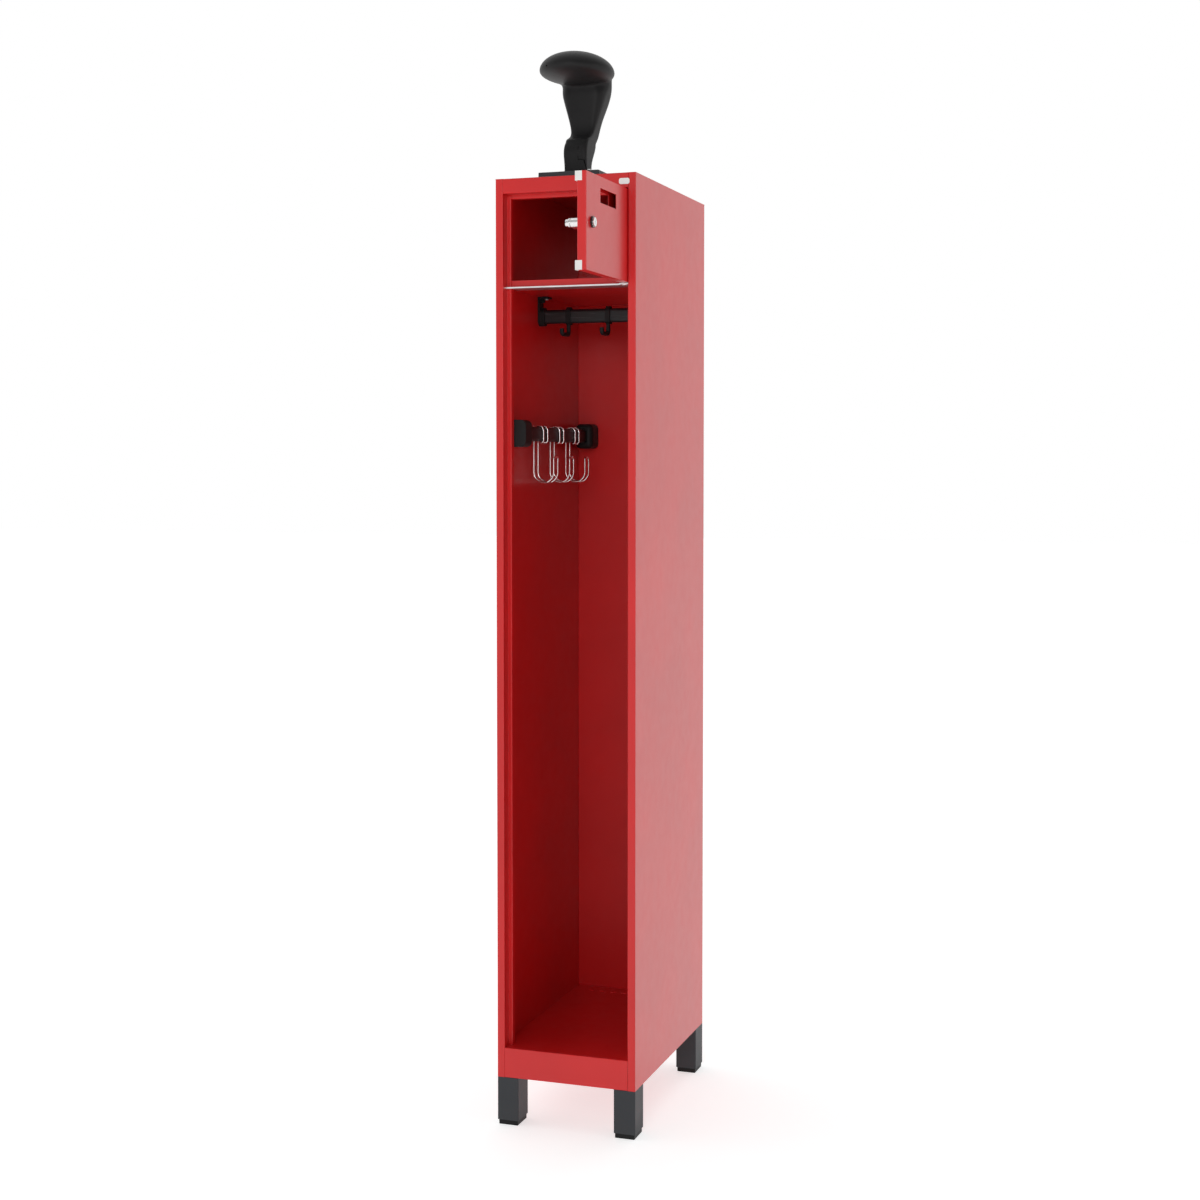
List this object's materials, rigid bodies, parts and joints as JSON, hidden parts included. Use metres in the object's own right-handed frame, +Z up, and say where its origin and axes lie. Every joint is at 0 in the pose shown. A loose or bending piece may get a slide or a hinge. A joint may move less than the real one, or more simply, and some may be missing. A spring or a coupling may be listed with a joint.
{
  "type": "cloakroom locker",
  "caption": "Narrow open-front steel cloakroom locker on square legs with a lockable top compartment, coat rail, sliding hooks and a moulded helmet rest on the roof.",
  "frame": {"origin": "on the floor, under the middle of the carcass's footprint", "axes": "+X to the right and +Y to the back as seen by someone who faces the locker, +Z up"},
  "size_m": [0.3, 0.7521, 2.2087],
  "materials": {
    "red_coat": "semi-gloss red powder coat with a fine orange-peel texture",
    "zinc_sill": "bright zinc-plated steel strip",
    "leg_coat": "anthracite powder coat",
    "black_moulding": "finely grained black moulded plastic",
    "white_moulding": "white moulded plastic",
    "black_tube": "satin black coated steel tube",
    "lock_metal": "bright nickel-plated die casting",
    "black_ring": "gloss black plastic",
    "plain_steel": "zinc-plated steel",
    "bright_wire": "bright plated round wire",
    "badge": "plain white blank plate"
  },
  "bodies": {
    "carcass": {"back_panel": "red_coat", "badge_plate": "badge", "coat_rail_bracket_left": "black_moulding", "coat_rail_bracket_right": "black_moulding", "coat_rail_screws": "plain_steel", "coat_rail_tube": "black_tube", "compartment_shelf": "red_coat", "door_sill": "zinc_sill", "floor_panel": "red_coat", "glide_back_left": "black_moulding", "glide_back_right": "black_moulding", "glide_front_left": "black_moulding", "glide_front_right": "black_moulding", "hinge_bush_bottom": "white_moulding", "hinge_bush_top": "black_moulding", "hook_rail_cap_back": "black_moulding", "hook_rail_cap_front": "black_moulding", "hook_rail_screws": "plain_steel", "hook_rail_tube": "black_tube", "leg_back_left": "leg_coat", "leg_back_right": "leg_coat", "leg_bolts": "plain_steel", "leg_front_left": "leg_coat", "leg_front_right": "leg_coat", "rest_foot": "black_moulding", "rest_head": "black_moulding", "rest_neck": "black_moulding", "rest_plate": "leg_coat", "rest_screws": "plain_steel", "roof_panel": "red_coat", "side_panel_left": "red_coat", "side_panel_right": "red_coat"},
    "door": {"door_skin": "red_coat", "door_liner": "red_coat", "door_buffer_top": "white_moulding", "door_buffer_bottom": "white_moulding", "hinge_boss_top": "plain_steel", "hinge_boss_bottom": "plain_steel", "hinge_pin_top": "plain_steel", "hinge_pin_bottom": "plain_steel", "lock_ring": "black_ring", "lock_housing": "lock_metal", "lock_nut": "plain_steel"},
    "lock_cylinder": {"lock_plug": "lock_metal", "lock_cam": "lock_metal", "lock_cam_screw": "lock_metal"},
    "coat_hook_body_1": {"coat_hook_1": "black_moulding"},
    "wire_hook_body_1": {"wire_hook_1": "bright_wire"},
    "coat_hook_body_2": {"coat_hook_2": "black_moulding"},
    "wire_hook_body_2": {"wire_hook_2": "bright_wire"},
    "coat_hook_body_3": {"coat_hook_3": "black_moulding"},
    "wire_hook_body_3": {"wire_hook_3": "bright_wire"}
  },
  "joints": [
    {"name": "door_hinge", "type": "hinge", "parent": "carcass", "child": "door", "pos_m": [0.124, -0.241, 1.8255], "axis": [0, 0, 1], "range_deg": [-90, 4]},
    {"name": "lock_turn", "type": "hinge", "parent": "door", "child": "lock_cylinder", "pos_m": [0.124, -0.4655, 1.8255], "axis": [-1, 0, 0], "range_deg": [0, 180]},
    {"name": "coat_hook_slide_1", "type": "slide", "parent": "carcass", "child": "coat_hook_body_1", "axis": [1, 0, 0], "range_m": [-0.048, 0.039]},
    {"name": "coat_hook_slide_2", "type": "slide", "parent": "carcass", "child": "coat_hook_body_2", "axis": [1, 0, 0], "range_m": [-0.039, 0.039]},
    {"name": "coat_hook_slide_3", "type": "slide", "parent": "carcass", "child": "coat_hook_body_3", "axis": [1, 0, 0], "range_m": [-0.039, 0.03]},
    {"name": "wire_hook_slide_1", "type": "slide", "parent": "carcass", "child": "wire_hook_body_1", "axis": [0, 1, 0], "range_m": [-0.081, 0.034]},
    {"name": "wire_hook_slide_2", "type": "slide", "parent": "carcass", "child": "wire_hook_body_2", "axis": [0, 1, 0], "range_m": [-0.034, 0.034]},
    {"name": "wire_hook_slide_3", "type": "slide", "parent": "carcass", "child": "wire_hook_body_3", "axis": [0, 1, 0], "range_m": [-0.034, 0.056]}
  ]
}
